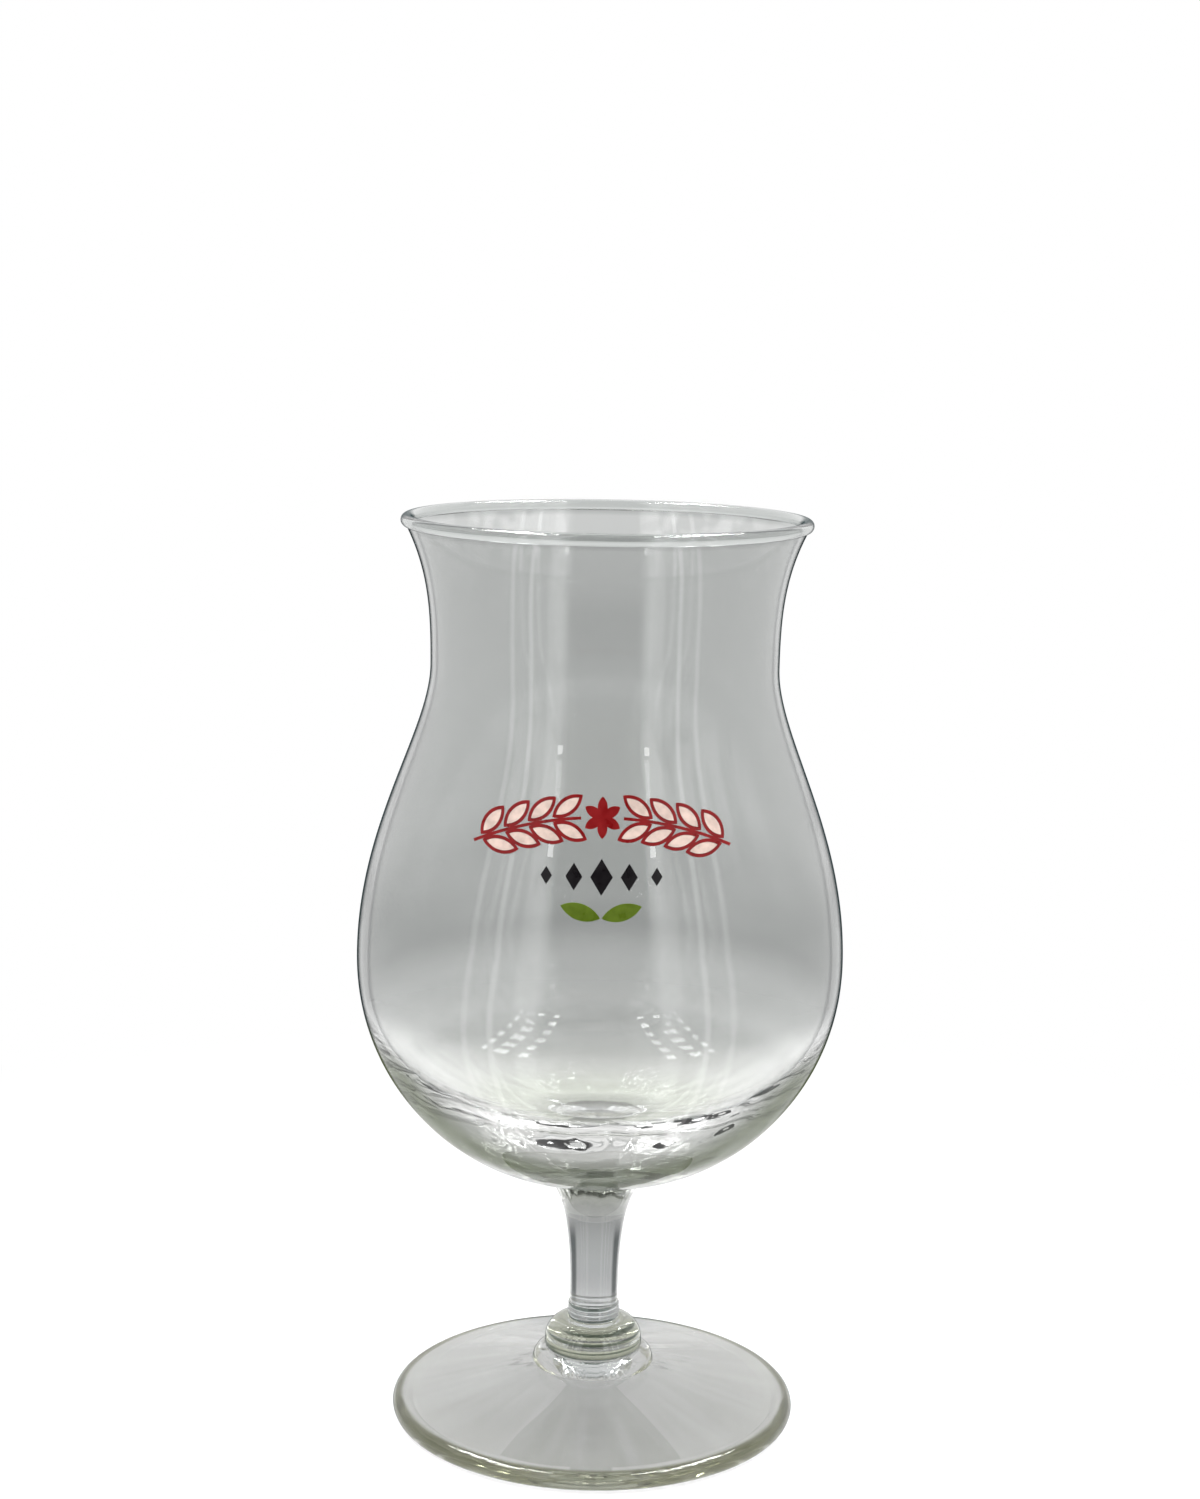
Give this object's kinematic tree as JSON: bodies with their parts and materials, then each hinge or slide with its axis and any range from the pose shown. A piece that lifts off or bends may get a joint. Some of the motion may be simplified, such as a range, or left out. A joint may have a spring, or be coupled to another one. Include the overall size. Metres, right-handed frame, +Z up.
{
  "type": "tulip beer glass",
  "caption": "Clear stemmed tulip glass with a flared rim, a round belly, a short stem with a knop, a round foot and a small fired print.",
  "frame": {"origin": "centre of the resting ring under the foot, on the surface that the glass stands on", "axes": "+Z up along the axis of the glass, -Y towards the print, +X to the right for someone who faces the print"},
  "size_m": [0.0844, 0.0844, 0.16],
  "materials": {
    "clear_glass": "clear soda-lime glass, fire-polished",
    "cream_enamel": "fired enamel, slightly raised, satin gloss",
    "red_enamel": "fired enamel, slightly raised, satin gloss",
    "black_enamel": "fired enamel, slightly raised, satin gloss",
    "green_enamel": "fired enamel, slightly raised, satin gloss"
  },
  "bodies": {
    "root": {"bowl": "clear_glass", "stem": "clear_glass", "knop": "clear_glass", "foot": "clear_glass", "enamel_cream": "cream_enamel", "enamel_red": "red_enamel", "enamel_black": "black_enamel", "enamel_green": "green_enamel"}
  },
  "joints": []
}
